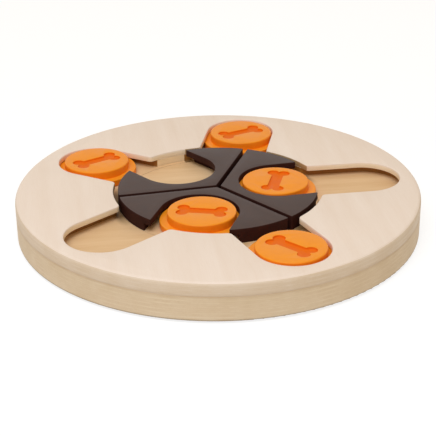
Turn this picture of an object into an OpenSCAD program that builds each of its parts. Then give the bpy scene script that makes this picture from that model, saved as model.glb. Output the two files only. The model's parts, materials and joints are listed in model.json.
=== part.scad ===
// Round wooden puzzle feeder for dogs. Treats lie in five arms and in the scallops of a turning hub,
// and flanged pucks slide over them. The origin is the middle of the underside, with +Z up. Arm 0
// points along +X. All sizes are in millimetres.

/* [Board] */
// Diameter of the round board
board_d = 290; // [288:1:330]
// Thickness of the base layer
base_t = 17.5; // [16:0.5:24]
// Thickness of the track layer, whose grooves take the pucks' sliders
track_t = 5.6; // [5.2:0.1:7]
// Thickness of the top layer, whose lip holds the pucks down
top_t = 4.4; // [3.5:0.1:6]
// Radius of the rounded top edge
edge_r = 2; // [0.5:0.1:3]
// Radius of the small rounding on the bottom edge
foot_edge_r = 1; // [0.5:0.1:2]

/* [Arms] */
// Half the width of an arm's slot in the top layer
slot_half = 25.8; // [25:0.1:26.5]
// Distance that a groove reaches past the edge above it
undercut = 5.6; // [5:0.1:6]
// Distance from the centre to the middle of an arm's round end
arm_reach = 108.3; // [104:0.1:108.5]
// The same distance in the left arm, which is a little shorter
left_arm_reach = 106.2; // [104:0.1:108.5]
// Radius of the corner where an arm opens into the pocket
mouth_r = 4; // [1:0.5:5]

/* [Hub] */
// Radius of the round pocket that the hub turns in
pocket_r = 75.4; // [74:0.1:77]
// Radius of the hub
hub_r = 72; // [70:0.1:73]
// Height of the hub above the board's top face
hub_proud = 0.5; // [0:0.1:2]
// Angle that the hub has turned from arm 0
hub_turn = 4.4; // [0:0.1:4.4]
// Half the width of a scallop
scallop_half = 28; // [28:0.1:28.5]
// Distance from the centre to the middle of a scallop's round end
scallop_reach = 44.1; // [43:0.1:45]
// Width of the gap between two segments
segment_gap = 3.4; // [1:0.1:4]
// Thickness of the turntable under the segments
turntable_t = 6; // [5:0.5:7]

/* [Pucks] */
// Radius of a puck's cap
cap_r = 24; // [22:0.1:24]
// Height of a cap above the board's top face
cap_proud = 1.1; // [0.5:0.1:3]
// Radius of a puck's slider
slider_r = 29.4; // [28:0.1:29.4]
// Thickness of a slider
slider_t = 4.8; // [4:0.1:4.8]
// Running gap under a slider
slider_gap = 0.3; // [0.2:0.05:0.5]
// Distance between the middles of the bone recess's two ends
bone_span = 26.6; // [20:0.1:28]
// Depth of the bone recess
bone_depth = 1.6; // [0.5:0.1:2.5]

/* [Hardware] */
// Radius of the pivot bolt's shoulder
pivot_r = 4; // [3.5:0.5:4]
// Radial clearance of the shoulder in its bush
pivot_clearance = 0.05; // [0.02:0.01:0.1]
// Radius of a segment screw's shank
screw_r = 1.75; // [1.5:0.25:2]
// Radius of a foot pad
pad_r = 10; // [8:0.5:14]
// Distance that the pads stand out below the board
pad_proud = 1.5; // [1:0.1:3]

/* [Hidden] */

$fn = 96;
board_r = board_d / 2;

// Heights of the layers
base_z = pad_proud;
floor_z = base_z + base_t;
lip_z = floor_z + track_t;
face_z = lip_z + top_t;
hub_top_z = face_z + hub_proud;
cap_top_z = face_z + cap_proud;

// The star of slots, and the hub's three scallops
arm_count = 5;
left_arm = 2;
arm_step = 360 / arm_count;
scallop_count = 3;
scallop_step = 360 / scallop_count;
groove_half = slot_half + undercut;
undercut_half = scallop_half + undercut;
mouth_bite = 0.05;

// The turntable runs on a washer in a recess of the base
thrust_t = 1;
thrust_r = 22;
glide = 0.05;
recess_r = hub_r + 0.4;
turntable_z = floor_z - turntable_t;
thrust_z = turntable_z - glide - thrust_t;

// The pivot goes up from a counterbore in the underside
counterbore_r = 12;
counterbore_t = 6;
counterbore_z = base_z + counterbore_t;
bush_r = 6;
bush_bore_r = pivot_r + pivot_clearance;
washer_t = 1.2;
washer_r = 10;
washer_z = counterbore_z - glide - washer_t;
head_t = 3.2;
head_r = 7.5;
socket_r = 2.9;
socket_t = 1.9;
thread_r = 3;
insert_r = 4.25;
insert_flange_r = 9;
insert_flange_t = 1.1;
insert_top_z = floor_z - 0.2;
thread_end_z = insert_top_z - 0.4;

// Each segment has a countersunk screw on both sides of its scallop
screw_circle_r = 58;
screw_angle = 46;
screw_head_r = 3.6;
screw_head_t = 2.2;
screw_bite = 6.5;
screw_hole_r = screw_r + 0.2;

// Foot pads
pad_count = 4;
pad_circle_r = 118;
pad_sunk = 1;
pad_edge = 0.5;

// Bone recess, a bar with two lobes at each end
lobe_r = 4.3;
lobe_side = 3.9;
bone_half = 4.2;
cap_edge_r = 1;
slider_edge = 0.5;

// Each puck's track angle, place along the track, place across it and the bone's angle to +X
LEFT = [left_arm * arm_step, 103.4, -0.4, 26];
BACK = [arm_step, 104.4, -1.2, 20];
FRONT = [4 * arm_step, 108.2, -0.9, -50];
HUB_RIGHT = [0, 42.5, 1.5, 69];
HUB_FRONT = [hub_turn + 2 * scallop_step, 44, 1.7, -17];

WOOD = [0.91, 0.84, 0.75];
PLY = [0.85, 0.72, 0.52];
DARK = [0.34, 0.29, 0.27];
ORANGE = [0.96, 0.55, 0.16];
FLANK = [0.91, 0.42, 0.07];
STEEL = [0.72, 0.73, 0.75];
BRASS = [0.80, 0.66, 0.32];
NYLON = [0.93, 0.92, 0.88];
RUBBER = [0.16, 0.16, 0.17];

// ---- The board -----------------------------------------------------------------------------

// One arm of the star, from the centre out to its round end
module arm_outline(half, reach) {
    translate([0, -half]) square([reach, 2 * half]);
    translate([reach, 0]) circle(r = half);
}

// What is taken off the sharp corner between the pocket and an arm's side. The round that is left
// reaches a little past both walls, so that it crosses them at a slight angle.
module mouth_corner(half) {
    y = half + mouth_r;
    x = sqrt(pow(pocket_r + mouth_r, 2) - y * y);
    inward = (pocket_r - 1) / (pocket_r + mouth_r);
    tip_x = sqrt(pocket_r * pocket_r - half * half);
    difference() {
        polygon([[x * inward, y * inward], [tip_x - 1, half - 1], [x, half - 1], [x, y]]);
        translate([x, y]) circle(r = mouth_r + mouth_bite);
    }
}

// The pocket and its arms. The top layer has the narrow star, and the track layer the wide one.
module star_outline(half) {
    circle(r = pocket_r);
    for (i = [0 : arm_count - 1]) rotate(i * arm_step) {
        arm_outline(half, i == left_arm ? left_arm_reach : arm_reach);
        mouth_corner(half);
        mirror([0, 1]) mouth_corner(half);
    }
}

// A disc of the board, given the roundings of its bottom and top edge
module board_layer(z, t, bottom_r, top_r) {
    translate([0, 0, z]) rotate_extrude() difference() {
        square([board_r, t]);
        if (bottom_r > 0) edge_waste(bottom_r);
        if (top_r > 0) translate([0, t]) mirror([0, 1]) edge_waste(top_r);
    }
}

// What a rounding takes off the outer lower corner of a layer's profile
module edge_waste(r) {
    translate([board_r - r, 0]) difference() {
        translate([0, -1]) square([r + 1, r + 1]);
        translate([0, r]) circle(r = r);
    }
}

// Base layer, with the turntable's recess above and the pivot's counterbore and pad seats below
module base_board() {
    color(PLY) difference() {
        board_layer(base_z, base_t, foot_edge_r, 0);
        translate([0, 0, thrust_z]) cylinder(h = base_t, r = recess_r);
        translate([0, 0, base_z - 1]) cylinder(h = counterbore_t + 1, r = counterbore_r);
        cylinder(h = floor_z, r = bush_r);
        at_pads() translate([0, 0, base_z - 1]) cylinder(h = pad_sunk + 1, r = pad_r + 0.2);
    }
}

// Track layer, with the wide star that the sliders run in
module track_board() {
    color(WOOD) difference() {
        board_layer(floor_z, track_t, 0, 0);
        translate([0, 0, floor_z - 1]) linear_extrude(track_t + 2) star_outline(groove_half);
    }
}

// Top layer, with the narrow star whose edges overhang the sliders
module top_board() {
    color(WOOD) difference() {
        board_layer(lip_z, top_t, 0, edge_r);
        translate([0, 0, lip_z - 1]) linear_extrude(top_t + 2) star_outline(slot_half);
    }
}

module at_pads() {
    for (i = [0 : pad_count - 1]) rotate((i + 0.5) * 360 / pad_count) translate([pad_circle_r, 0]) children();
}

// Non-slip pads, sunk a little into the underside
module foot_pads() {
    t = pad_proud + pad_sunk;
    color(RUBBER) at_pads() rotate_extrude()
        polygon([[0, 0], [pad_r - pad_edge, 0], [pad_r, pad_edge], [pad_r, t], [0, t]]);
}

// Plain bush pressed into the base, in which the pivot bolt turns
module pivot_bush() {
    color(BRASS) translate([0, 0, counterbore_z]) ring(bush_r, bush_bore_r, thrust_z - counterbore_z);
}

// Flat washer that carries the turntable
module thrust_washer() {
    color(NYLON) translate([0, 0, thrust_z]) ring(thrust_r, pivot_r + 0.6, thrust_t);
}

module ring(outer_r, inner_r, t) {
    difference() {
        cylinder(h = t, r = outer_r);
        translate([0, 0, -1]) cylinder(h = t + 2, r = inner_r);
    }
}

// ---- The hub -------------------------------------------------------------------------------

module at_screws() {
    for (i = [0 : scallop_count - 1]) rotate(hub_turn + i * scallop_step)
        for (a = [-screw_angle, screw_angle]) rotate(a) translate([screw_circle_r, 0]) children();
}

// Disc that carries the segments. Its top is level with the floor of the arms.
module turntable() {
    color(PLY) difference() {
        translate([0, 0, turntable_z]) cylinder(h = turntable_t, r = hub_r);
        cylinder(h = floor_z + 1, r = insert_r);
        translate([0, 0, insert_top_z - insert_flange_t]) cylinder(h = turntable_t, r = insert_flange_r);
        at_screws() {
            cylinder(h = floor_z + 1, r = screw_hole_r);
            translate([0, 0, turntable_z]) cylinder(h = screw_head_t, r1 = screw_head_r, r2 = screw_hole_r);
        }
    }
}

// A third of the hub, less half the gap on each side and less its scallop
module segment_outline(half) {
    tip = segment_gap / 2 / sin(scallop_step / 2);
    side = 2 * hub_r;
    intersection() {
        circle(r = hub_r);
        difference() {
            polygon([
                [tip, 0],
                [tip + side * cos(scallop_step / 2), -side * sin(scallop_step / 2)],
                [tip + side * cos(scallop_step / 2), side * sin(scallop_step / 2)]
            ]);
            translate([scallop_reach, 0]) circle(r = half);
            translate([scallop_reach, -half]) square([hub_r, 2 * half]);
        }
    }
}

// A segment of the hub. Its scallop is undercut, as the arms are, to take a slider.
module segment(i) {
    color(DARK) rotate(hub_turn + i * scallop_step) difference() {
        union() {
            translate([0, 0, floor_z]) linear_extrude(track_t) segment_outline(undercut_half);
            translate([0, 0, lip_z]) linear_extrude(hub_top_z - lip_z) segment_outline(scallop_half);
        }
        for (a = [-screw_angle, screw_angle]) rotate(a)
            translate([screw_circle_r, 0, floor_z - 1]) cylinder(h = screw_bite + 1, r = screw_r);
    }
}

module right_segment() { segment(0); }
module back_segment() { segment(1); }
module front_segment() { segment(2); }

// Countersunk screws, driven up through the turntable into the segments
module segment_screws() {
    color(STEEL) at_screws() {
        translate([0, 0, turntable_z + 0.1]) cylinder(h = screw_head_t, r1 = screw_head_r - 0.2, r2 = screw_r);
        translate([0, 0, turntable_z + 1]) cylinder(h = turntable_t - 1 + screw_bite - 0.5, r = screw_r);
    }
}

// Flanged nut in the top of the turntable, hidden under the segments' tips
module threaded_insert() {
    color(STEEL) {
        translate([0, 0, turntable_z]) ring(insert_r, thread_r, insert_top_z - turntable_z);
        translate([0, 0, insert_top_z - insert_flange_t]) ring(insert_flange_r - 0.1, thread_r, insert_flange_t);
    }
}

// Shoulder bolt. The shoulder turns in the bush and its thread holds the insert.
module pivot_bolt() {
    head_z = washer_z - head_t;
    color(STEEL) difference() {
        union() {
            translate([0, 0, head_z]) cylinder(h = head_t, r = head_r);
            translate([0, 0, washer_z]) cylinder(h = turntable_z - washer_z, r = pivot_r);
            translate([0, 0, turntable_z]) cylinder(h = thread_end_z - turntable_z, r = thread_r);
        }
        translate([0, 0, head_z - 1]) cylinder(h = socket_t + 1, r = socket_r, $fn = 6);
    }
}

// Washer between the bolt's head and the base
module pivot_washer() {
    color(STEEL) translate([0, 0, washer_z]) ring(washer_r, pivot_r + 0.1, washer_t);
}

// ---- The pucks -----------------------------------------------------------------------------

module at_puck(place) {
    rotate(place[0]) translate([place[1], place[2], 0]) rotate(place[3] - place[0]) children();
}

// Slider of a puck, whose flange runs under the lip
module slider(place) {
    profile = [
        [0, 0], [slider_r - slider_edge, 0], [slider_r, slider_edge],
        [slider_r, slider_t - slider_edge], [slider_r - slider_edge, slider_t], [0, slider_t]
    ];
    color(FLANK) at_puck(place) translate([0, 0, floor_z + slider_gap]) rotate_extrude() polygon(profile);
}

// Cap of a puck, glued on its slider, with a bone-shaped recess to push it by
module cap(place) {
    t = cap_top_z - floor_z - slider_gap - slider_t;
    color(ORANGE) at_puck(place) translate([0, 0, cap_top_z - t]) difference() {
        rotate_extrude() {
            square([cap_r - cap_edge_r, t]);
            square([cap_r, t - cap_edge_r]);
            translate([cap_r - cap_edge_r, t - cap_edge_r]) circle(r = cap_edge_r);
        }
        translate([0, 0, t - bone_depth]) linear_extrude(bone_depth + 1) bone_outline();
    }
}

module bone_outline() {
    translate([-bone_span / 2, -bone_half]) square([bone_span, 2 * bone_half]);
    for (x = [-bone_span / 2, bone_span / 2]) for (y = [-lobe_side, lobe_side])
        translate([x, y]) circle(r = lobe_r);
}

module left_slider() { slider(LEFT); }
module left_cap() { cap(LEFT); }
module back_slider() { slider(BACK); }
module back_cap() { cap(BACK); }
module front_slider() { slider(FRONT); }
module front_cap() { cap(FRONT); }
module hub_right_slider() { slider(HUB_RIGHT); }
module hub_right_cap() { cap(HUB_RIGHT); }
module hub_front_slider() { slider(HUB_FRONT); }
module hub_front_cap() { cap(HUB_FRONT); }

base_board();
track_board();
top_board();
foot_pads();
pivot_bush();
thrust_washer();
turntable();
right_segment();
back_segment();
front_segment();
segment_screws();
threaded_insert();
pivot_bolt();
pivot_washer();
left_slider();
left_cap();
back_slider();
back_cap();
front_slider();
front_cap();
hub_right_slider();
hub_right_cap();
hub_front_slider();
hub_front_cap();
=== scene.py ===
# %% [markdown]
# # A puzzle feeder for dogs
# The toy is a round board of three glued wooden layers. A hub of three dark segments turns in its middle,
# and five orange pucks slide in the slots and in the hub. The measured frame comes first: it holds every
# piece of the toy at its real size, and it says which pieces move together.

import json
import math

import bmesh
import bpy
from mathutils import Matrix, Vector

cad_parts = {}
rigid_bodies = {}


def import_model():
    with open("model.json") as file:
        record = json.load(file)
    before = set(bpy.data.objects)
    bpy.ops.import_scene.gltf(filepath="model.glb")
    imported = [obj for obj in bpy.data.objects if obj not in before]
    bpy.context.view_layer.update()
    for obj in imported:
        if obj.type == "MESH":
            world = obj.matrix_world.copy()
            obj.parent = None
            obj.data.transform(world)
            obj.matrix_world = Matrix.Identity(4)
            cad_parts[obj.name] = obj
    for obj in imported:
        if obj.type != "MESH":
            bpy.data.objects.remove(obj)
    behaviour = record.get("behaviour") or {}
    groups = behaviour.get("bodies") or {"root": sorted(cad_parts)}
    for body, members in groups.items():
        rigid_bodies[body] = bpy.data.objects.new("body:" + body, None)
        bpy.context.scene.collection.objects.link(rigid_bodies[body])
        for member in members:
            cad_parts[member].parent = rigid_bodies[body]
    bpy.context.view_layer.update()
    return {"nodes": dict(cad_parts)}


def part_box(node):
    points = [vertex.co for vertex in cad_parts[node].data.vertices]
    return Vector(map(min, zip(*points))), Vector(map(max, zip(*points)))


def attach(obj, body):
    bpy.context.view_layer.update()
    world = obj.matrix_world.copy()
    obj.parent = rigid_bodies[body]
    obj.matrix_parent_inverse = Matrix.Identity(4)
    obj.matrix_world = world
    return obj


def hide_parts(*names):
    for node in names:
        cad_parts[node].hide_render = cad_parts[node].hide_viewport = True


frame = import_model()
MM = 0.001
print("nodes:", len(frame["nodes"]))

# %% [markdown]
# The sizes of the toy, in millimetres, and the angle in degrees at which its hub rests. They repeat the
# frame's own driving dimensions. The heights are read from the frame, so that every new piece lands where
# the real one is. The last two sizes are tolerances: points nearer than the first are merged, and the
# second is the slack in telling where a point lies.

# %% Sizes
BOARD_R = 145.0
POCKET_R = 75.4
SLOT_HALF = 25.8
GROOVE_HALF = 31.4
ARM_REACH = 108.3
LEFT_ARM_REACH = 106.2
LEFT_ARM = 2
MOUTH_R = 4.0
ARMS = 5
HUB_R = 72.0
HUB_TURN = 4.4
SCALLOPS = 3
SCALLOP_HALF = 28.0
SCALLOP_GROOVE_HALF = 33.6
SCALLOP_REACH = 44.1
SEGMENT_GAP = 3.4
CAP_R = 24.0
SLIDER_R = 29.4
BONE_SPAN = 26.6
BONE_HALF = 4.2
LOBE_R = 4.3
LOBE_SIDE = 3.9
BONE_DEPTH = 1.6
MERGE_MM = 0.005
SLACK_MM = 0.01

floor_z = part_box("track_board")[0].z / MM
lip_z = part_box("top_board")[0].z / MM
face_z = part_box("top_board")[1].z / MM
hub_top_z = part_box("right_segment")[1].z / MM
slider_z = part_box("left_slider")[0].z / MM
slider_top_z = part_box("left_slider")[1].z / MM
cap_top_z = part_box("left_cap")[1].z / MM
heights = {"floor": floor_z, "lip": lip_z, "face": face_z, "hub": hub_top_z, "caps": cap_top_z}
print({name: round(z, 2) for name, z in heights.items()})

# %% [markdown]
# ## The camera
# A long lens from well back keeps the ellipse of the board close to a true one. The camera stands in
# front, a little to the left of the middle, and looks down at about 26 degrees. The point that it looks
# at is given along its own left to right and front to back.

# %% Camera
VIEW_AZIMUTH = -8.42
VIEW_ELEVATION = 25.74
VIEW_ROLL = -0.55
VIEW_DISTANCE = 848.0
LENS_MM = 102.52
SENSOR_MM = 36
NEAREST_M = 0.05
VIEW_TARGET = Vector((-0.2, -52.4, face_z))


def camera_axes(azimuth, elevation, roll):
    """The camera's right, up and forward directions in the frame"""
    a, e, t = (math.radians(v) for v in (azimuth, elevation, roll))
    level = Vector((math.cos(a), math.sin(a), 0))
    forward = Vector((-math.sin(a) * math.cos(e), math.cos(a) * math.cos(e), -math.sin(e)))
    above = level.cross(forward)
    right = level * math.cos(t) + above * math.sin(t)
    up = above * math.cos(t) - level * math.sin(t)
    return right, up, forward


right, up, forward = camera_axes(VIEW_AZIMUTH, VIEW_ELEVATION, VIEW_ROLL)
target = Matrix.Rotation(math.radians(VIEW_AZIMUTH), 3, "Z") @ VIEW_TARGET
camera_data = bpy.data.cameras.new("camera")
camera_data.lens = LENS_MM
camera_data.sensor_width = SENSOR_MM
camera_data.clip_start = NEAREST_M
camera = bpy.data.objects.new("camera", camera_data)
bpy.context.scene.collection.objects.link(camera)
turn = Matrix((right, up, -forward)).transposed().to_4x4()
camera.matrix_world = Matrix.Translation((target - forward * VIEW_DISTANCE) * MM) @ turn
bpy.context.scene.camera = camera
print("camera at", [round(v, 4) for v in camera.matrix_world.translation])

# %% [markdown]
# ## Drawing with a pen
# The wooden pieces are flat shapes with straight sides and true arcs, as a router cuts them. They could
# be cut out of plain blocks with Boolean modifiers, but these leave ragged faces round the arcs, and such
# edges round badly. So each outline is drawn as a joiner sets it out: one vertex is extruded along a
# straight line, or spun round the middle of an arc. The closed line is filled, and the face is then
# extruded to the thickness of the wood.

# %% Pen


def pen_down(x, y, z):
    """Adds one vertex to the mesh in edit mode and leaves it selected"""
    bpy.ops.mesh.select_all(action="DESELECT")
    bpy.ops.mesh.primitive_plane_add(size=MM)
    bpy.ops.mesh.merge(type="CENTER")
    bpy.ops.transform.translate(value=Vector((x, y, z)) * MM)


def draw(start, strokes, z):
    """Draws and fills a closed outline of lines ("line", x, y) and arcs ("arc", cx, cy, degrees, steps)"""
    pen_down(*start, z)
    here = Vector((*start, z))
    for stroke in strokes:
        if stroke[0] == "line":
            there = Vector((stroke[1], stroke[2], z))
            move = {"value": (there - here) * MM}
            bpy.ops.mesh.extrude_region_move(TRANSFORM_OT_translate=move)
        else:
            middle = Vector((stroke[1], stroke[2], z))
            angle = math.radians(stroke[3])
            bpy.ops.mesh.spin(steps=stroke[4], angle=-angle, center=middle * MM, axis=(0, 0, 1))
            there = middle + Matrix.Rotation(angle, 3, "Z") @ (here - middle)
        here = there
    bpy.ops.mesh.select_linked()
    bpy.ops.mesh.remove_doubles(threshold=MERGE_MM * MM)
    bpy.ops.mesh.edge_face_add()


def new_mesh(name):
    """An empty mesh object of that name, in edit mode"""
    bpy.ops.object.select_all(action="DESELECT")
    bpy.ops.mesh.primitive_plane_add(size=MM)
    piece = bpy.context.object
    piece.name = piece.data.name = name
    bpy.ops.object.mode_set(mode="EDIT")
    bpy.ops.mesh.delete(type="VERT")
    return piece


print("a pen that draws lines and arcs")

# %% [markdown]
# An operator acts on what is selected. With a mouse the points, faces and edges would be clicked. Here
# each is picked by a test of where it lies, so the right ones are still found when a size changes.

# %% Picking points, faces and edges


def pick_points(test):
    """Selects the points for which the test holds, given their place in millimetres"""
    bpy.ops.mesh.select_mode(type="VERT")
    bpy.ops.mesh.select_all(action="DESELECT")
    mesh = bmesh.from_edit_mesh(bpy.context.object.data)
    for point in mesh.verts:
        point.select_set(test(point.co / MM))
    bmesh.update_edit_mesh(bpy.context.object.data)


def pick_faces(test):
    """Selects the faces for which the test holds, given their corners in millimetres"""
    bpy.ops.mesh.select_mode(type="FACE")
    bpy.ops.mesh.select_all(action="DESELECT")
    mesh = bmesh.from_edit_mesh(bpy.context.object.data)
    for face in mesh.faces:
        if test([v.co / MM for v in face.verts]):
            face.select_set(True)
    bmesh.update_edit_mesh(bpy.context.object.data)


def pick_edges(test, least_angle):
    """Selects the edges whose ends pass the test, where two faces meet at that angle or more"""
    bpy.ops.mesh.select_mode(type="EDGE")
    bpy.ops.mesh.select_all(action="DESELECT")
    mesh = bmesh.from_edit_mesh(bpy.context.object.data)
    for edge in mesh.edges:
        ends = [v.co / MM for v in edge.verts]
        sharp = len(edge.link_faces) == 2 and math.degrees(edge.calc_face_angle()) >= least_angle
        if sharp and test(*ends):
            edge.select_set(True)
    bmesh.update_edit_mesh(bpy.context.object.data)


def level_edge(z):
    """A test for edges that lie at one height"""
    return lambda a, b: abs(a.z - z) < SLACK_MM and abs(b.z - z) < SLACK_MM


def upright_edge(a, b):
    """A test for edges that stand upright"""
    return abs(a.x - b.x) < SLACK_MM and abs(a.y - b.y) < SLACK_MM


print("edges picked within", SLACK_MM, "mm")

# %% [markdown]
# No edge of the real toy is sharp: each has been rounded by a cutter, by sanding or by a coat of paint,
# and catches a thin line of light. A Bevel modifier would round all edges alike, so the operator is used
# on the picked ones, each with a width of its own.

# %% Softening, raising and finishing
SOFTEN_DEGREES = 30
SMOOTH_DEGREES = 35
ROUND = 0.5


def soften(test, width, strips, least_angle=SOFTEN_DEGREES):
    """Rounds the edges that pass the test, in so many strips of faces"""
    pick_edges(test, least_angle)
    bpy.ops.mesh.bevel(
        offset=width * MM, segments=strips, profile=ROUND, affect="EDGES", clamp_overlap=True
    )


def raise_faces(height):
    """Extrudes the selected faces straight up or down"""
    bpy.ops.mesh.extrude_region_move(TRANSFORM_OT_translate={"value": (0, 0, height * MM)})


def finish_piece(piece):
    """Leaves edit mode with all faces pointing outwards and the arcs shaded smooth"""
    bpy.ops.mesh.select_mode(type="VERT")
    bpy.ops.mesh.select_all(action="SELECT")
    bpy.ops.mesh.remove_doubles(threshold=MERGE_MM * MM)
    bpy.ops.mesh.normals_make_consistent(inside=False)
    bpy.ops.object.mode_set(mode="OBJECT")
    bpy.ops.object.shade_smooth_by_angle(angle=math.radians(SMOOTH_DEGREES))
    mesh = bmesh.new()
    mesh.from_mesh(piece.data)
    open_edges = sum(1 for edge in mesh.edges if len(edge.link_faces) != 2)
    volume = round(mesh.calc_volume() / MM**3)
    print(piece.name, "faces", len(mesh.faces), "open edges", open_edges, "mm3", volume)
    mesh.free()


print("edges softened from", SOFTEN_DEGREES, "degrees, smooth up to", SMOOTH_DEGREES)

# %% [markdown]
# ## The two slotted layers
# The top layer has a star of five slots. The layer under it has the same star, cut wider, so that the
# flange of a puck runs under the edge. A whole star could be drawn in one go, but its five arms are
# alike, so one fifth of the ring is drawn: the line goes in along the pocket, round the mouth of the
# slot, along it, round its end and back. Five copies are turned into place and merged. The left slot is a
# little shorter, so its end is then moved in.

# %% One fifth of a slotted layer
POCKET_STEPS = 6
MOUTH_STEPS = 10
END_STEPS = 44
RIM_STEPS = 56
NEAR_MM = 1.0

left_angle = math.radians(LEFT_ARM * 360 / ARMS)
left_axis = Vector((math.cos(left_angle), math.sin(left_angle), 0))


def on_circle(radius, degrees):
    """A point on a circle round the hub's axis"""
    return radius * math.cos(math.radians(degrees)), radius * math.sin(math.radians(degrees))


def fifth_of_board(half):
    """The outline of one fifth of a layer whose slot is twice half wide"""
    wedge = 180 / ARMS
    corner_y = half + MOUTH_R
    corner_x = math.sqrt((POCKET_R + MOUTH_R) ** 2 - corner_y**2)
    mouth = math.degrees(math.atan2(corner_y, corner_x))
    strokes = [
        ("arc", 0, 0, wedge - mouth, POCKET_STEPS),
        ("arc", corner_x, -corner_y, mouth - 90, MOUTH_STEPS),
        ("line", ARM_REACH, -half),
        ("arc", ARM_REACH, 0, 180, END_STEPS),
        ("line", corner_x, half),
        ("arc", corner_x, corner_y, mouth - 90, MOUTH_STEPS),
        ("arc", 0, 0, wedge - mouth, POCKET_STEPS),
        ("line", *on_circle(BOARD_R, wedge)),
        ("arc", 0, 0, -2 * wedge, RIM_STEPS),
    ]
    return on_circle(POCKET_R, -wedge), strokes


def in_left_end(point):
    """True in the round end of the left arm's slot"""
    along = point.dot(left_axis)
    beside = (point.xy - along * left_axis.xy).length
    in_slot = beside < GROOVE_HALF + NEAR_MM and point.xy.length < BOARD_R - NEAR_MM
    return along > ARM_REACH - SLACK_MM and in_slot


def slotted_layer(name, half, low, high):
    """A slotted layer of the board between two heights"""
    piece = new_mesh(name)
    draw(*fifth_of_board(half), low)
    bpy.ops.mesh.select_all(action="SELECT")
    for _ in range(ARMS - 1):
        bpy.ops.mesh.duplicate()
        bpy.ops.transform.rotate(value=2 * math.pi / ARMS, orient_axis="Z", center_override=(0, 0, 0))
    bpy.ops.mesh.select_all(action="SELECT")
    bpy.ops.mesh.remove_doubles(threshold=MERGE_MM * MM)
    pick_points(in_left_end)
    bpy.ops.transform.translate(value=left_axis * (LEFT_ARM_REACH - ARM_REACH) * MM)
    bpy.ops.mesh.select_all(action="SELECT")
    raise_faces(high - low)
    return piece


print("a fifth of the ring spans", 360 / ARMS, "degrees")

# %% Top layer
EDGE_R = 2.8
SLOT_EDGE = 0.9
SLOT_EDGE_BELOW = 0.25
RIM_SLACK = 0.1


def outer_rim(z):
    """A test for the board's outer edge at one height"""
    return lambda a, b: level_edge(z)(a, b) and min(a.xy.length, b.xy.length) > BOARD_R - RIM_SLACK


def slot_rim(z):
    """A test for the edges of the star at one height"""
    return lambda a, b: level_edge(z)(a, b) and max(a.xy.length, b.xy.length) < BOARD_R - RIM_SLACK


top_panel = slotted_layer("top_panel", SLOT_HALF, lip_z, face_z)
soften(outer_rim(face_z), EDGE_R, strips=6)
soften(slot_rim(face_z), SLOT_EDGE, strips=3)
soften(slot_rim(lip_z), SLOT_EDGE_BELOW, strips=2)
finish_piece(top_panel)

# %% Track layer
GROOVE_EDGE = 0.15
TRACK_EDGE = 0.2
track_panel = slotted_layer("track_panel", GROOVE_HALF, floor_z, lip_z)
soften(slot_rim(lip_z), GROOVE_EDGE, strips=1)
soften(outer_rim(floor_z), TRACK_EDGE, strips=2)
finish_piece(track_panel)

# %% [markdown]
# ## The hub's segments
# A segment is a third of a disc with a U-shaped scallop. Its lower half is cut wider for the flange of a
# puck. It could be made of two plates laid on each other, but the real one is a single piece, so two
# faces are drawn side by side: the foot of the segment, and the ledge that overhangs. Both are raised
# together, and then the foot alone is pushed down to the turntable.

# %% Outline of a segment
SEGMENT_RIM_STEPS = 20
SCALLOP_STEPS = 48
LEDGE_STEPS = 4


def segment_strokes():
    """The outlines of a segment's foot and of its ledge, with the scallop towards +X"""
    wedge = 180 / SCALLOPS
    tip = SEGMENT_GAP / 2 / math.sin(math.radians(wedge))
    corner_angle = wedge - math.degrees(math.asin(SEGMENT_GAP / 2 / HUB_R))
    corner = on_circle(HUB_R, corner_angle)
    foot_angle = math.degrees(math.asin(SCALLOP_GROOVE_HALF / HUB_R))
    lip_angle = math.degrees(math.asin(SCALLOP_HALF / HUB_R))
    rim = corner_angle - foot_angle
    foot = [
        ("line", corner[0], -corner[1]),
        ("arc", 0, 0, rim, SEGMENT_RIM_STEPS),
        ("line", SCALLOP_REACH, -SCALLOP_GROOVE_HALF),
        ("arc", SCALLOP_REACH, 0, -180, SCALLOP_STEPS),
        ("line", *on_circle(HUB_R, foot_angle)),
        ("arc", 0, 0, rim, SEGMENT_RIM_STEPS),
    ]
    ledge = [
        ("arc", 0, 0, lip_angle - foot_angle, LEDGE_STEPS),
        ("line", SCALLOP_REACH, SCALLOP_HALF),
        ("arc", SCALLOP_REACH, 0, 180, SCALLOP_STEPS),
        ("line", *on_circle(HUB_R, -lip_angle)),
        ("arc", 0, 0, lip_angle - foot_angle, LEDGE_STEPS),
        ("line", SCALLOP_REACH, -SCALLOP_GROOVE_HALF),
        ("arc", SCALLOP_REACH, 0, -180, SCALLOP_STEPS),
    ]
    return ((tip, 0), foot), (on_circle(HUB_R, foot_angle), ledge)


segment_foot, segment_ledge = segment_strokes()
print("strokes", len(segment_foot[1]), "for the foot and", len(segment_ledge[1]), "for the ledge")

# %% Segments
SEGMENT_EDGE = 0.7
CORNER_DEGREES = 45


def foot_face(corners):
    """True for the underside of a segment's foot, which reaches further in than the ledge"""
    ledge_x = SCALLOP_REACH - SCALLOP_GROOVE_HALF
    level = all(abs(c.z - lip_z) < SLACK_MM for c in corners)
    return level and min(c.x for c in corners) < ledge_x - SLACK_MM


def hub_segment(name, degrees):
    """A segment of the hub with its scallop at that angle"""
    piece = new_mesh(name)
    draw(*segment_foot, lip_z)
    draw(*segment_ledge, lip_z)
    bpy.ops.mesh.select_all(action="SELECT")
    bpy.ops.mesh.remove_doubles(threshold=MERGE_MM * MM)
    raise_faces(hub_top_z - lip_z)
    pick_faces(foot_face)
    raise_faces(floor_z - lip_z)
    soften(upright_edge, SEGMENT_EDGE, strips=3, least_angle=CORNER_DEGREES)
    soften(level_edge(hub_top_z), SEGMENT_EDGE, strips=3)
    finish_piece(piece)
    piece.data.transform(Matrix.Rotation(math.radians(degrees), 4, "Z"))
    return piece


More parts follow.
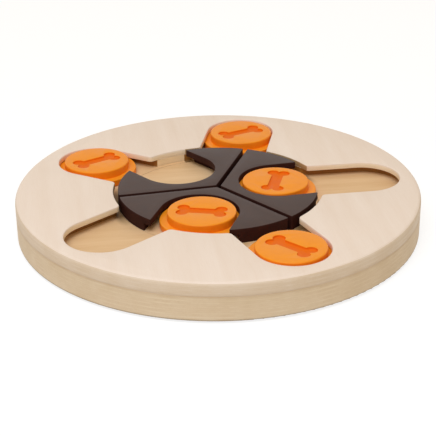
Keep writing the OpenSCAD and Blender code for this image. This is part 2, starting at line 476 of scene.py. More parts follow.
segments = {}
for i, place in enumerate(("right", "back", "front")):
    segments[place] = hub_segment("hub_segment_" + place, HUB_TURN + i * 360 / SCALLOPS)

# %% [markdown]
# ## The pucks
# A puck is a cap glued on a wider slider. The cap has a bone-shaped recess for a nose or a paw. A Boolean
# could sink the bone, but a drawn one keeps a flat floor and even strips round its edge. The bone is the
# same on all four sides, so one quarter is drawn: the floor of the recess, and the top face round it. The
# quarter is mirrored twice, and its edges are rounded as sanding and paint leave them.

# %% A quarter of a cap
CAP_EDGE = 1.0
BONE_EDGE = 0.5
NOTCH_EDGE = 0.8
NOTCH_DEGREES = 25
RECESS_CLEARANCE = 3.0
LOBE_STEPS = 24
CAP_STEPS = 32


def bone_strokes():
    """The outlines of a quarter of the bone, and of the quarter of the top face round it"""
    notch_x = BONE_SPAN / 2 + math.sqrt(LOBE_R**2 - LOBE_SIDE**2)
    neck_x = BONE_SPAN / 2 - math.sqrt(LOBE_R**2 - (LOBE_SIDE - BONE_HALF) ** 2)
    notch = math.degrees(math.asin(LOBE_SIDE / LOBE_R))
    neck = math.degrees(math.asin((LOBE_SIDE - BONE_HALF) / LOBE_R))
    turn_of_lobe = 180 + notch + neck
    bone = [
        ("line", notch_x, 0),
        ("arc", BONE_SPAN / 2, LOBE_SIDE, turn_of_lobe, LOBE_STEPS),
        ("line", 0, BONE_HALF),
    ]
    around = [
        ("line", neck_x, BONE_HALF),
        ("arc", BONE_SPAN / 2, LOBE_SIDE, -turn_of_lobe, LOBE_STEPS),
        ("line", CAP_R, 0),
        ("arc", 0, 0, 90, CAP_STEPS),
    ]
    return ((0, 0), bone), ((0, BONE_HALF), around)


def on_a_mirror(corners):
    """True for a face that lies in one of the two planes of symmetry"""
    return any(all(abs(c[axis]) < SLACK_MM for c in corners) for axis in (0, 1))


def mirror_quarter(piece):
    """Removes the faces on the two planes of symmetry and mirrors the rest across them"""
    pick_faces(on_a_mirror)
    bpy.ops.mesh.delete(type="FACE")
    bpy.ops.object.mode_set(mode="OBJECT")
    mirror = piece.modifiers.new("four quarters", "MIRROR")
    mirror.use_axis = (True, True, False)
    mirror.merge_threshold = MERGE_MM * MM
    bpy.ops.object.modifier_apply(modifier=mirror.name)
    bpy.ops.object.mode_set(mode="EDIT")
    bpy.ops.mesh.select_all(action="SELECT")
    bpy.ops.mesh.remove_doubles(threshold=MERGE_MM * MM)
    bpy.ops.mesh.normals_make_consistent(inside=False)


def bone_face(corners):
    """True for the quarter of the bone that is still level with the cap's top"""
    level = all(abs(c.z - cap_top_z) < SLACK_MM for c in corners)
    return level and min(c.xy.length for c in corners) < SLACK_MM


def in_recess(point):
    """True for a point of the recess, which stays clear of the rim"""
    return point.xy.length < CAP_R - RECESS_CLEARANCE


bone_floor, bone_around = bone_strokes()
print("bone", BONE_SPAN + 2 * LOBE_R, "mm long")

# %% Cap
bone_z = cap_top_z - BONE_DEPTH
cap = new_mesh("cap")
draw(*bone_floor, cap_top_z)
draw(*bone_around, cap_top_z)
bpy.ops.mesh.select_all(action="SELECT")
bpy.ops.mesh.remove_doubles(threshold=MERGE_MM * MM)
raise_faces(slider_top_z - cap_top_z)
pick_faces(bone_face)
raise_faces(-BONE_DEPTH)
mirror_quarter(cap)
soften(lambda a, b: upright_edge(a, b) and in_recess(a), NOTCH_EDGE, strips=4, least_angle=NOTCH_DEGREES)
soften(lambda a, b: level_edge(cap_top_z)(a, b) and not in_recess(a), CAP_EDGE, strips=5)
soften(lambda a, b: level_edge(cap_top_z)(a, b) and in_recess(a), BONE_EDGE, strips=3)
soften(level_edge(bone_z), BONE_EDGE, strips=3)
finish_piece(cap)

# %% Slider
SLIDER_EDGE = 0.6
SLIDER_STEPS = 160
RIM_DEGREES = 60
bpy.ops.object.select_all(action="DESELECT")
slider_t = slider_top_z - slider_z
slider_middle = (0, 0, (slider_z + slider_t / 2) * MM)
bpy.ops.mesh.primitive_cylinder_add(
    vertices=SLIDER_STEPS, radius=SLIDER_R * MM, depth=slider_t * MM, location=slider_middle
)
slider = bpy.context.object
slider.name = slider.data.name = "slider"
bpy.ops.object.transform_apply(location=True, rotation=True, scale=True)
bpy.ops.object.mode_set(mode="EDIT")
soften(lambda a, b: level_edge(a.z)(a, b), SLIDER_EDGE, strips=3, least_angle=RIM_DEGREES)
finish_piece(slider)

# %% [markdown]
# Each puck lies where play has left it, with its bone turned any way. The finished cap and slider are
# copied five times, each copy with a mesh of its own, and the places are read from the frame.

# %% Five pucks
BONE_ANGLES = {"left": 26, "back": 20, "front": -50, "hub_right": 69, "hub_front": -17}


def placed_copy(master, name, middle, degrees):
    """A copy of a finished piece, turned and moved in its own mesh"""
    piece = master.copy()
    piece.data = master.data.copy()
    piece.name = piece.data.name = name
    bpy.context.scene.collection.objects.link(piece)
    turn = Matrix.Rotation(math.radians(degrees), 4, "Z")
    piece.data.transform(Matrix.Translation((middle.x, middle.y, 0)) @ turn)
    return piece


pucks = {}
for place, degrees in BONE_ANGLES.items():
    low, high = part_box(place + "_cap")
    middle = (low + high) / 2
    puck_cap = placed_copy(cap, place + "_puck_cap", middle, degrees)
    puck_slider = placed_copy(slider, place + "_puck_slider", middle, degrees)
    pucks[place] = (puck_cap, puck_slider)
    print(place, "puck at", [round(v / MM, 1) for v in middle.xy])
bpy.data.objects.remove(cap)
bpy.data.objects.remove(slider)

# %% [markdown]
# ## Finishes
# Colours are written as sRGB hex values and turned to the linear values that a shader takes. One small
# function adds a node with its settings and its inputs, and every finish is built with it. All patterns
# read the piece's own coordinates, turned to millimetres, so their scales are real sizes.

# %% Colour and nodes


def linear(code):
    """An sRGB hex colour as a linear colour"""
    channels = [int(code[i : i + 2], 16) / 255 for i in (1, 3, 5)]
    return (*(c / 12.92 if c <= 0.04045 else ((c + 0.055) / 1.055) ** 2.4 for c in channels), 1.0)


def add(material, kind, inputs=None, **settings):
    """Adds a node with its settings, and with inputs that are values or other nodes' outputs"""
    node = material.node_tree.nodes.new("ShaderNode" + kind)
    for key, value in settings.items():
        setattr(node, key, value)
    for key, value in (inputs or {}).items():
        if isinstance(value, bpy.types.NodeSocket):
            material.node_tree.links.new(value, node.inputs[key])
        else:
            node.inputs[key].default_value = value
    return node


def new_finish(name):
    """A material with an empty node tree"""
    material = bpy.data.materials.new(name)
    material.use_nodes = True
    material.node_tree.nodes.clear()
    return material


def millimetres(material):
    """The piece's own coordinates, in millimetres"""
    place = add(material, "TexCoord").outputs["Object"]
    return add(material, "VectorMath", {0: place, "Scale": 1 / MM}, operation="SCALE").outputs[0]


def per(size):
    """The scale at which a feature of that size, in millimetres, is one unit long"""
    return [1 / length for length in size]


def two_tone(material, factor, dark, light, low=0.0, high=1.0):
    """A colour that goes from dark to light as the factor goes from low to high"""
    share = add(material, "MapRange", {"Value": factor, "From Min": low, "From Max": high}).outputs[0]
    return add(material, "Mix", {0: share, 6: linear(dark), 7: linear(light)}, data_type="RGBA").outputs[2]


print("srgb #808080 is linear", round(linear("#808080")[0], 4))

# %% [markdown]
# ### Lacquered plywood
# Plywood is thin sheets of birch glued with the grain crossed. A picture of it would have to be laid on
# each face by hand. One pattern in space gives all faces at once: the fibres are long streaks along the
# grain of each sheet, so a sheet whose grain runs into an edge shows there as fine dots, and the glue
# between two sheets is a thin brown line on the edges alone. Where the base and the layer above it are
# glued together, the glue has soaked into the wood and leaves a wider, softer shade.
# Real fibres are about a tenth of a millimetre wide, which is too fine to show, so they are drawn half a
# millimetre wide. The lacquer is thin. It gives a soft sheen, a little stronger along the dense fibres,
# and they still stand up a little under it.

# %% Plywood
PLY_MM = 1.46
VENEER_MM = 0.9
VARNISH_MM = 0.05
SEAM_MM = 1.8
FIBRE_MM = (16, 0.5, 0.5)
FIGURE_MM = (170, 13, 13)
FLECK_MM = (4.5, 0.3, 0.3)
FIBRE_NOISE = {"Scale": 1.0, "Detail": 3.0, "Roughness": 0.6}
GRAIN_LIMITS = (0.5, 0.95)
FIBRE_WEIGHT = 0.45
FIBRE_DEPTH_MM = 0.05
FIBRE_RELIEF = 0.12
LACQUER_ROUGHNESS = (0.62, 0.48)
SEAM_START_MM = 0.3
SEAM_SHADE = 0.22
FLECK_LIMITS = (0.66, 0.74)
FLECK_SHADE = 0.12
GLUE_LIMITS = (0.44, 0.5)
GLUE_TONE = "#A5855C"
FLECK_TONE = "#B58F62"


def plywood(name, face, core, face_height, skin, glue_strength):
    """Birch plywood with an outer skin of another tone, that thick, at the given height"""
    wood = new_finish(name)
    place = millimetres(wood)
    height = add(wood, "SeparateXYZ", {0: place}).outputs["Z"]
    from_floor = add(wood, "Math", {0: height, 1: floor_z}, operation="SUBTRACT").outputs[0]
    sheet = add(wood, "Math", {0: from_floor, 1: PLY_MM}, operation="DIVIDE").outputs[0]
    number = add(wood, "Math", {0: sheet}, operation="ROUND").outputs[0]
    crossed = add(wood, "Math", {0: number, 1: 2.0}, operation="FLOORED_MODULO").outputs[0]
    fibres = []
    for size in (FIBRE_MM, FIGURE_MM, FLECK_MM):
        along_x = add(wood, "Mapping", {"Vector": place, "Scale": per(size)}).outputs[0]
        across = (size[1], size[0], size[2])
        along_y = add(wood, "Mapping", {"Vector": place, "Scale": per(across)}).outputs[0]
        grain = add(wood, "Mix", {0: crossed, 4: along_x, 5: along_y}, data_type="VECTOR").outputs[1]
        fibres.append(add(wood, "TexNoise", {"Vector": grain, **FIBRE_NOISE}).outputs[0])
    fine, figure, flecks = fibres
    both = add(wood, "Math", {0: fine, 1: FIBRE_WEIGHT, 2: figure}, operation="MULTIPLY_ADD").outputs[0]
    veneer = two_tone(wood, both, *face, *GRAIN_LIMITS)
    inner = two_tone(wood, both, *core, *GRAIN_LIMITS)
    from_seam = add(wood, "Math", {0: from_floor}, operation="ABSOLUTE").outputs[0]
    soaked = {"From Min": SEAM_START_MM, "From Max": SEAM_MM, "To Min": SEAM_SHADE, "To Max": 0.0}
    seam = add(wood, "MapRange", {"Value": from_seam, **soaked}).outputs[0]
    inner = add(wood, "Mix", {0: seam, 6: inner, 7: linear(GLUE_TONE)}, data_type="RGBA").outputs[2]
    outer = add(wood, "Math", {0: height, 1: face_height, 2: skin}, operation="COMPARE").outputs[0]
    colour = add(wood, "Mix", {0: outer, 6: inner, 7: veneer}, data_type="RGBA").outputs[2]
    flecked = {"From Min": FLECK_LIMITS[0], "From Max": FLECK_LIMITS[1], "To Max": FLECK_SHADE}
    fleck = add(wood, "MapRange", {"Value": flecks, **flecked}).outputs[0]
    colour = add(wood, "Mix", {0: fleck, 6: colour, 7: linear(FLECK_TONE)}, data_type="RGBA").outputs[2]
    joint = add(wood, "Math", {0: sheet, 1: number}, operation="SUBTRACT").outputs[0]
    joint = add(wood, "Math", {0: joint}, operation="ABSOLUTE").outputs[0]
    line = {"From Min": GLUE_LIMITS[0], "From Max": GLUE_LIMITS[1], "To Max": glue_strength}
    glue = add(wood, "MapRange", {"Value": joint, **line}).outputs[0]
    colour = add(wood, "Mix", {0: glue, 6: colour, 7: linear(GLUE_TONE)}, data_type="RGBA").outputs[2]
    relief = {"Strength": FIBRE_RELIEF, "Distance": FIBRE_DEPTH_MM * MM, "Height": fine}
    bump = add(wood, "Bump", relief).outputs[0]
    sheen = {"To Min": LACQUER_ROUGHNESS[0], "To Max": LACQUER_ROUGHNESS[1]}
    gloss = add(wood, "MapRange", {"Value": fine, **sheen}).outputs[0]
    shader = add(wood, "BsdfPrincipled", {"Base Color": colour, "Roughness": gloss, "Normal": bump})
    add(wood, "OutputMaterial", {"Surface": shader.outputs[0]})
    return wood


print("sheets of", PLY_MM, "mm, fibres drawn", FIBRE_MM[1], "mm wide")

# %% [markdown]
# Birch is pale and a little pink where it is freshly sanded, and the sheets inside are browner. The base
# is of a yellower wood, with varnish on its floor. The other tones are painted light and shade: the groove
# walls are dark brown for the shade under the lip, the star's walls paler and a stretch of the pocket's
# wall lighter and warmer as light, and the pocket's wall darker as shade where a segment stands by it. One
# picture of bare wood could be tinted for each of these. Here each is the same recipe with two pairs of
# tones of its own, the first for the skin and the second for the sheets inside, so the grain runs on from
# one finish to the next.

# %% Woods
TOP_GLUE = 0.22
BASE_GLUE = 0.25
GROOVE_SHADE_GLUE = 0.3

top_tones = ("#EBD9C7", "#F1E2D3"), ("#D6C0A3", "#E0CFBA")
base_tones = ("#DAB381", "#EAC79A"), ("#D2BA97", "#DFCCAF")
groove_shade_tones = ("#97641C", "#AB7524"), ("#8B5919", "#9F6A20")
star_wall_light_tones = ("#E9D6C3", "#F2E4D7"), ("#F0DDBE", "#F7E9D3")
pocket_light_tones = ("#E9D6C3", "#F2E4D7"), ("#F0D4A7", "#F3DCBA")
pocket_shade_tones = ("#B08F62", "#BC9B6E"), ("#B08F62", "#BC9B6E")
top_wood = plywood("birch plywood, lacquered", *top_tones, face_z, VENEER_MM, TOP_GLUE)
base_wood = plywood("birch plywood, yellow core", *base_tones, floor_z, VARNISH_MM, BASE_GLUE)
# painted shade: the groove walls are dark brown for the shade under the lip
groove_shade_wood = plywood(
    "birch plywood, painted shade in the grooves", *groove_shade_tones, face_z, VENEER_MM, GROOVE_SHADE_GLUE
)
# painted light: the star's walls are paler than the board's outer side
star_wall_light_wood = plywood("birch plywood, painted light on the star's walls", *star_wall_light_tones, face_z, VENEER_MM, TOP_GLUE)
# painted light: the pocket's wall is lighter and warmer where the empty scallop is left
pocket_light_wood = plywood(
    "birch plywood, painted light on the pocket's wall", *pocket_light_tones, face_z, VENEER_MM, TOP_GLUE
)
# painted shade: the pocket's wall is darker where a segment stands close to it
pocket_shade_wood = plywood(
    "birch plywood, painted shade beside the segments", *pocket_shade_tones, face_z, VENEER_MM, TOP_GLUE
)
woods = (top_wood, base_wood, groove_shade_wood, star_wall_light_wood, pocket_light_wood, pocket_shade_wood)
print("woods:", [wood.name for wood in woods])

# %% [markdown]
# The turntable is the same wood. Under the gaps between the segments it is painted near black: a painted
# shade that darkens the gaps. The shade lies in three stripes under the gaps, which run from the middle to
# the rim. Strips of mesh could carry it, but it is only a colour laid over the wood. A stripe is where a
# point's distance from the middle line of the nearest gap is small, and that distance is the sine of its
# angle to the line, times its radius.

# %% Painted shade over a finish
SHADE_STRIPE_HALF = 5.0
GAP_SHADE_TONE = "#1C110E"


def lay_painted_shade(finish, mask, paint):
    """Lays a flat colour over a finish where the mask is 1: a painted shade"""
    shader = finish.node_tree.nodes["Principled BSDF"]
    bare = shader.inputs["Base Color"].links[0].from_socket
    painted = add(finish, "Mix", {0: mask, 6: bare, 7: linear(paint)}, data_type="RGBA").outputs[2]
    finish.node_tree.links.new(painted, shader.inputs["Base Color"])
    return shader


def from_axis_and_spoke(finish, first_degrees, spokes):
    """The distance from the hub's axis, and the angle from the nearest of some evenly set directions"""
    first = (0, 0, -math.radians(first_degrees))
    half = math.pi / spokes
    turned = add(finish, "Mapping", {"Vector": millimetres(finish), "Rotation": first}).outputs[0]
    flat = add(finish, "VectorMath", {0: turned, 1: (1, 1, 0)}, operation="MULTIPLY").outputs[0]
    parts = add(finish, "SeparateXYZ", {0: flat}).outputs
    angle = add(finish, "Math", {0: parts["Y"], 1: parts["X"]}, operation="ARCTAN2").outputs[0]
    away = add(finish, "Math", {0: angle, 1: half, 2: -half}, operation="WRAP").outputs[0]
    radius = add(finish, "VectorMath", {0: flat}, operation="LENGTH").outputs["Value"]
    return radius, add(finish, "Math", {0: away}, operation="ABSOLUTE").outputs[0]


def shade_under_gaps(finish):
    """1 within a stripe's half width of a gap of the hub, where the shade is painted, and 0 elsewhere"""
    radius, away = from_axis_and_spoke(finish, HUB_TURN + 180 / SCALLOPS, SCALLOPS)
    sine = add(finish, "Math", {0: away}, operation="SINE").outputs[0]
    across = add(finish, "Math", {0: sine, 1: radius}, operation="MULTIPLY").outputs[0]
    return add(finish, "Math", {0: across, 1: 0.0, 2: SHADE_STRIPE_HALF}, operation="COMPARE").outputs[0]


turntable_wood = base_wood.copy()
turntable_wood.name = "birch plywood, painted shade under the gaps"
# painted shade: near-black stripes under the hub's gaps
lay_painted_shade(turntable_wood, shade_under_gaps(turntable_wood), GAP_SHADE_TONE)
print("stripes", 2 * SHADE_STRIPE_HALF, "mm wide")

# %% [markdown]
# The base is the same wood too. Its floor is painted darker in the narrow gap between the segments and the
# pocket's wall, but not where the empty scallop is left: a painted shade. It is the product of three
# masks:
# near the hub, away from the slots, and outside the empty scallop. A thin dark line is painted round the
# foot of the base, a painted shade on its lower rounded edge.

# %% Painted shade on the base
SHADE_FADE_MM = (76, 80)
SHADE_FADE_DEGREES = (14, 26)
EMPTY_SCALLOP = HUB_TURN + 360 / SCALLOPS
EMPTY_HALF = math.degrees(math.asin(SCALLOP_HALF / HUB_R))
FOOT_SHADE_START_MM = 0.5
FOOT_SHADE_END_MM = 1.6
FOOT_SHADE_LEVEL = 0.75
GAP_FLOOR_SHADE_TONE = "#86663C"
FOOT_SHADE_TONE = "#6E5840"


def gap_floor_shade(finish):
    """1 where shade is painted on the floor of the gap between the segments and the pocket's wall, fading
    into the slots
    """
    radius, away = from_axis_and_spoke(finish, 180 / ARMS, ARMS)
    from_empty = from_axis_and_spoke(finish, EMPTY_SCALLOP, 1)[1]
    fading = {"To Min": 1.0, "To Max": 0.0}
    first, last = (math.radians(v) for v in SHADE_FADE_DEGREES)
    aside = {"Value": away, "From Min": first, "From Max": last}
    beside = add(finish, "MapRange", {**aside, **fading}).outputs[0]
    outward = {"Value": radius, "From Min": SHADE_FADE_MM[0], "From Max": SHADE_FADE_MM[1]}
    near = add(finish, "MapRange", {**outward, **fading}).outputs[0]
    past = {0: from_empty, 1: math.radians(EMPTY_HALF)}
    covered = add(finish, "Math", past, operation="GREATER_THAN").outputs[0]
    gap_shade_mask = add(finish, "Math", {0: beside, 1: near}, operation="MULTIPLY").outputs[0]
    return add(finish, "Math", {0: gap_shade_mask, 1: covered}, operation="MULTIPLY").outputs[0]


# painted shade: the floor is darker in the gap beside the hub
lay_painted_shade(base_wood, gap_floor_shade(base_wood), GAP_FLOOR_SHADE_TONE)
# painted shade: a dark line round the foot of the base
foot_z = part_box("base_board")[0].z / MM
base_height = add(base_wood, "SeparateXYZ", {0: millimetres(base_wood)}).outputs["Z"]
foot_shade_ends = {"From Min": foot_z + FOOT_SHADE_START_MM, "From Max": foot_z + FOOT_SHADE_END_MM}
foot_shade = {"Value": base_height, **foot_shade_ends, "To Min": FOOT_SHADE_LEVEL, "To Max": 0.0}
lay_painted_shade(base_wood, add(base_wood, "MapRange", foot_shade).outputs[0], FOOT_SHADE_TONE)
print("empty scallop at", round(EMPTY_SCALLOP, 1), "degrees, half", round(EMPTY_HALF, 1))

# %% [markdown]
# ### Painted parts
# The hub and the pucks are fibreboard with a satin spray paint. Sprayed paint is never quite even: it has
# a faint mottle a few millimetres wide and a finer skin like the peel of an orange, which breaks the
# highlights. That skin is hundredths of a millimetre deep, so it is a bump in the finish and not in the
# mesh. The walls of the segments wear a darker and rougher copy of the umber, the edges of the pucks a
# redder orange, and the recess of a cap a deeper orange: these tones are painted shade.

# %% Spray paint
MOTTLE_MM = (6, 6, 6)
PEEL_MM = (0.7, 0.7, 0.7)
MOTTLE_DETAIL = 4.0
PEEL_DETAIL = 1.0
PEEL_DEPTH_MM = 0.03
PEEL_RELIEF = 0.15
GLOSS_SPREAD = 0.04
NOISE_LIMITS = (0.3, 0.7)


def spray_paint(name, dark, light, roughness, specular):
    """Satin spray paint"""
    paint = new_finish(name)
    place = millimetres(paint)
    coarse = add(paint, "Mapping", {"Vector": place, "Scale": per(MOTTLE_MM)}).outputs[0]
    blotches = {"Vector": coarse, "Scale": 1.0, "Detail": MOTTLE_DETAIL}
    mottle = add(paint, "TexNoise", blotches).outputs[0]
    skin = add(paint, "Mapping", {"Vector": place, "Scale": per(PEEL_MM)}).outputs[0]
    peel = add(paint, "TexNoise", {"Vector": skin, "Scale": 1.0, "Detail": PEEL_DETAIL}).outputs[0]
    colour = two_tone(paint, mottle, dark, light, *NOISE_LIMITS)
    relief = {"Strength": PEEL_RELIEF, "Distance": PEEL_DEPTH_MM * MM, "Height": peel}
    bump = add(paint, "Bump", relief).outputs[0]
    limits = {"From Min": NOISE_LIMITS[0], "From Max": NOISE_LIMITS[1]}
    spread = {"To Min": roughness - GLOSS_SPREAD, "To Max": roughness + GLOSS_SPREAD}
    gloss = add(paint, "MapRange", {"Value": mottle, **limits, **spread}).outputs[0]
    inputs = {"Base Color": colour, "Roughness": gloss, "Normal": bump, "Specular IOR Level": specular}
    shader = add(paint, "BsdfPrincipled", inputs)
    add(paint, "OutputMaterial", {"Surface": shader.outputs[0]})
    return paint


dark_paint = spray_paint(
    "satin paint, umber", "#463630", "#4E3D36", roughness=0.5, specular=0.2
)
# painted shade: a darker umber on the walls of the segments
wall_shade_paint = spray_paint(
    "satin paint, umber, painted shade on walls", "#2F1611", "#391D16", roughness=0.65, specular=0.1
)
orange_paint = spray_paint(
    "satin paint, orange", "#F4941B", "#F89A21", roughness=0.42, specular=0.2
)
# painted shade: a redder orange on the upright edges of caps and sliders
edge_shade_orange = spray_paint(
    "satin paint, orange, painted shade on edges", "#FA8410", "#FC8A14", roughness=0.45, specular=0.25
)
# painted shade: a deeper orange in the recess of a cap
recess_shade_orange = spray_paint(
    "satin paint, orange, painted shade in the recess", "#E86B0A", "#EC710C", roughness=0.5, specular=0.12
)
paints = (dark_paint, wall_shade_paint, orange_paint, edge_shade_orange, recess_shade_orange)
print("paints:", [paint.name for paint in paints], "mottle", MOTTLE_MM[0], "mm, peel", PEEL_MM[0], "mm")

# %% [markdown]
# ### Hardware
# The hardware is mostly out of sight, but it shows when the toy is taken apart. Zinc plate is faintly
# spangled, brass from a lathe has fine rings, the washer is milky nylon and the pads are matt rubber with
# a fine grain. Real rings and grain are finer than these, which are drawn as coarse as they need to show.
# Each could have a recipe of its own, but one makes all four, because each is an even tone broken by a
# small grain.

# %% Metals, nylon and rubber
GRAIN_DETAIL = 2.0
GRAIN_DEPTH_MM = 0.02
GRAIN_RELIEF = 0.2
WEAR_SPREAD = 0.08


def grained(name, dark, light, size, roughness, metallic):
    """A finish with a grain of that size in millimetres"""
    stuff = new_finish(name)
    place = add(stuff, "Mapping", {"Vector": millimetres(stuff), "Scale": per(size)}).outputs[0]
    grain = add(stuff, "TexNoise", {"Vector": place, "Scale": 1.0, "Detail": GRAIN_DETAIL}).outputs[0]
    colour = two_tone(stuff, grain, dark, light, *NOISE_LIMITS)
    relief = {"Strength": GRAIN_RELIEF, "Distance": GRAIN_DEPTH_MM * MM, "Height": grain}
    bump = add(stuff, "Bump", relief).outputs[0]
    spread = {"To Min": roughness - WEAR_SPREAD, "To Max": roughness + WEAR_SPREAD}
    gloss = add(stuff, "MapRange", {"Value": grain, **spread}).outputs[0]
    inputs = {"Base Color": colour, "Roughness": gloss, "Normal": bump, "Metallic": metallic}
    shader = add(stuff, "BsdfPrincipled", inputs)
    add(stuff, "OutputMaterial", {"Surface": shader.outputs[0]})
    return stuff


zinc = grained("steel, zinc plated", "#A9ADB2", "#C4C8CC", (0.8, 0.8, 0.8), roughness=0.32, metallic=1.0)
brass = grained("brass, turned", "#C9A24E", "#D8B463", (2.0, 2.0, 0.2), roughness=0.28, metallic=1.0)
nylon = grained("nylon, natural", "#E4E1D6", "#ECEAE0", (1.5, 1.5, 1.5), roughness=0.5, metallic=0.0)
rubber = grained("rubber, matt black", "#1E1E20", "#2A2A2C", (0.5, 0.5, 0.5), roughness=0.8, metallic=0.0)
print("hardware:", [stuff.name for stuff in (zinc, brass, nylon, rubber)])

# %% [markdown]
# The three gaps of the hub meet over the threaded insert and the end of the bolt. Their tops are painted
# near black like the turntable under the gaps: a painted shade. Where the shade is painted, the metal is
# switched off.

# %% Zinc with painted shade on its top
SHADE_DEPTH = 0.5
zinc_with_painted_shade = zinc.copy()
zinc_with_painted_shade.name = "steel, zinc plated, painted shade on its top"
metal_height = add(zinc_with_painted_shade, "SeparateXYZ", {0: millimetres(zinc_with_painted_shade)}).outputs["Z"]
insert_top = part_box("threaded_insert")[1].z / MM
near_top = {0: metal_height, 1: insert_top, 2: SHADE_DEPTH}
# painted shade: the tops of the insert and the bolt are near black
on_top = add(zinc_with_painted_shade, "Math", near_top, operation="COMPARE").outputs[0]
metal_shader = lay_painted_shade(zinc_with_painted_shade, on_top, GAP_SHADE_TONE)
bare_metal = add(zinc_with_painted_shade, "Math", {0: 1.0, 1: on_top}, operation="SUBTRACT").outputs[0]
zinc_with_painted_shade.node_tree.links.new(bare_metal, metal_shader.inputs["Metallic"])
print("insert's top at", round(insert_top, 2))

# %% [markdown]
# ### Who wears what
# The pieces that stay from the frame get their finish too, and each new piece takes the place of a frame
# piece, which is hidden, and moves with that piece's body.

# %% Finishes on the pieces


def wear(piece, *finishes):
    """Gives a piece its finishes"""
    piece.data.materials.clear()
    for finish in finishes:
        piece.data.materials.append(finish)


CAD_FINISHES = {
    "base_board": base_wood,
    "turntable": turntable_wood,
    "foot_pads": rubber,
    "pivot_bush": brass,
    "thrust_washer": nylon,
    "segment_screws": zinc,
    "threaded_insert": zinc_with_painted_shade,
    "pivot_bolt": zinc_with_painted_shade,
    "pivot_washer": zinc,
}
for name, finish in CAD_FINISHES.items():
    wear(frame["nodes"][name], finish)
print("frame pieces dressed:", len(CAD_FINISHES))

# %% New pieces in their places


def stand_for(piece, node, body, slot, *finishes):
    """Puts a piece in place of a frame node, on its body"""
    wear(piece, *finishes)
    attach(piece, body)
    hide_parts(node)


stand_for(top_panel, "top_board", "board", "board_wood", top_wood, star_wall_light_wood, pocket_shade_wood)
stand_for(track_panel, "track_board", "board", "board_wood", top_wood, groove_shade_wood, pocket_light_wood)
for place, piece in segments.items():
    stand_for(piece, place + "_segment", "hub", "dark_paint", dark_paint, wall_shade_paint)
cap_paints = (orange_paint, edge_shade_orange, recess_shade_orange)
for place, (puck_cap, puck_slider) in pucks.items():
    body = place + "_puck"
    stand_for(puck_cap, place + "_cap", body, "orange_paint", *cap_paints)
    stand_for(puck_slider, place + "_slider", body, "orange_flange", orange_paint, edge_shade_orange)
print("new pieces dressed:", 2 + len(segments) + 2 * len(pucks))

# %% [markdown]
# The walls of the grooves of the arms are painted dark brown, a painted shade that draws the line under
# the lip. The walls of the star are painted paler than the board's outer side, a painted light. In the
# stretch where the empty scallop is left, the lower half of the pocket's wall is painted lighter and
# warmer, a painted light. Elsewhere a segment stands close to it: there its upper half is painted darker
# and its lower half as brown as the grooves, both painted shade. The walls of the segments wear a darker,
# rougher paint, the edges of a cap and a slider a redder orange and the recess a deeper orange: these
# tones are painted shade. A face counts as a wall where the upward part of its normal is small.

# %% Faces with a finish of their own
WALL_NORMAL = 0.7
SEGMENT_WALL_NORMAL = 0.3
PUCK_EDGE_NORMAL = 0.5
POCKET_WALL_R = POCKET_R + 0.6
STAR_R = BOARD_R - 4.0
RECESS_START_MM = 0.3


def from_axis(face):
    """The distance of a face's middle from the hub's axis, in millimetres"""
    return face.center.xy.length / MM


def is_inner_wall(face):
    """True for a wall of the star, and false for the board's outer side"""
    return abs(face.normal.z) < WALL_NORMAL and from_axis(face) < STAR_R


def by_a_segment(face):
    """True for a face of the pocket's wall that a segment of the hub stands against"""
    degrees = math.degrees(math.atan2(face.center.y, face.center.x))
    return from_axis(face) < POCKET_WALL_R and abs(degrees - EMPTY_SCALLOP) > EMPTY_HALF


# index 1 paints light on the star's walls, index 2 paints shade beside the segments
for face in filter(is_inner_wall, top_panel.data.polygons):
    face.material_index = 2 if by_a_segment(face) else 1
# index 1 paints shade in the grooves and beside the segments, index 2 paints light on the pocket's wall
for face in filter(is_inner_wall, track_panel.data.polygons):
    face.material_index = 1 if from_axis(face) > POCKET_WALL_R or by_a_segment(face) else 2
# index 1 paints shade on the segments' walls
for piece in segments.values():
    for face in piece.data.polygons:
        face.material_index = 1 if face.normal.z < SEGMENT_WALL_NORMAL else 0
for place, (puck_cap, puck_slider) in pucks.items():
    low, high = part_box(place + "_cap")
    middle = ((low + high) / 2).xy
    # index 1 paints shade on the cap's edge, index 2 paints shade in its recess
    for face in puck_cap.data.polygons:
        from_middle = (face.center.xy - middle).length / MM
        if from_middle > CAP_R - CAP_EDGE:
            face.material_index = 1 if face.normal.z < PUCK_EDGE_NORMAL else 0
        else:
            face.material_index = 2 if face.center.z < high.z - RECESS_START_MM * MM else 0
    # index 1 paints shade on the slider's edge
    for face in puck_slider.data.polygons:
        face.material_index = 1 if face.normal.z < PUCK_EDGE_NORMAL else 0
walls = sum(1 for face in top_panel.data.polygons if face.material_index)
print("wall faces of the top layer:", walls)

# %% [markdown]
# ## Studio
# A pale floor carries the shadow. A plain white backdrop could be had with more light, but that would
# bleach the wood. So what the camera and the reflections see of the floor and the sky is mostly plain
# white, and the light itself comes from a soft sky and one large lamp above and in front.

# %% Floor
FLOOR_M = 6
FLOOR_WHITE = 1.15
FLOOR_SHARE = 0.7


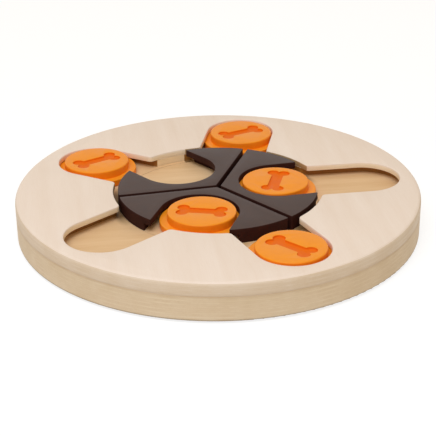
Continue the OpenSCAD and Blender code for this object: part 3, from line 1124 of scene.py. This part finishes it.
def seen_directly(material):
    """1 for a camera, reflection or transmission ray, and 0 for light that a surface gathers"""
    rays = add(material, "LightPath").outputs
    sharp = {0: rays["Is Camera Ray"], 1: rays["Is Glossy Ray"]}
    seen = add(material, "Math", sharp, operation="MAXIMUM").outputs[0]
    through = {0: seen, 1: rays["Is Transmission Ray"]}
    return add(material, "Math", through, operation="MAXIMUM").outputs[0]


bpy.ops.mesh.primitive_plane_add(size=FLOOR_M)
floor = bpy.context.object
floor.name = floor.data.name = "studio_floor"
floor_paper = new_finish("studio paper, white")
matt = add(floor_paper, "BsdfDiffuse", {"Color": linear("#F6F5F3")}).outputs[0]
white = add(floor_paper, "Emission", {"Color": (1, 1, 1, 1), "Strength": FLOOR_WHITE}).outputs[0]
part = {0: seen_directly(floor_paper), 1: FLOOR_SHARE}
share = add(floor_paper, "Math", part, operation="MULTIPLY").outputs[0]
mixed = add(floor_paper, "MixShader", {0: share, 1: matt, 2: white}).outputs[0]
add(floor_paper, "OutputMaterial", {"Surface": mixed})
wear(floor, floor_paper)
print("floor", FLOOR_M, "m wide")

# %% Sky
SKY_STRENGTH = 0.53
world = bpy.data.worlds.new("sky")
world.use_nodes = True
world.node_tree.nodes.clear()
seen = seen_directly(world)
level = add(world, "MapRange", {"Value": seen, "To Min": SKY_STRENGTH, "To Max": 1.0}).outputs[0]
tint = add(world, "Mix", {0: seen, 6: linear("#FFECCB"), 7: (1, 1, 1, 1)}, data_type="RGBA").outputs[2]
sky = add(world, "Background", {"Color": tint, "Strength": level}).outputs[0]
add(world, "OutputWorld", {"Surface": sky})
bpy.context.scene.world = world
print("sky strength", SKY_STRENGTH)

# %% Lamp


def softbox(name, place, aim, size, watts, colour):
    """A large square lamp that points at a spot"""
    lamp = bpy.data.lights.new(name, "AREA")
    lamp.size = size
    lamp.energy = watts
    lamp.color = linear(colour)[:3]
    holder = bpy.data.objects.new(name, lamp)
    facing = (Vector(aim) - Vector(place)).to_track_quat("-Z", "Y").to_matrix().to_4x4()
    holder.matrix_world = Matrix.Translation(place) @ facing
    bpy.context.scene.collection.objects.link(holder)


softbox("overhead softbox", place=(-0.3, -0.6, 1.2), aim=(0, 0, 0), size=0.9, watts=12.0, colour="#E4EDFF")
bpy.context.scene.view_settings.view_transform = "Standard"
print("lamps:", [lamp.name for lamp in bpy.data.lights])
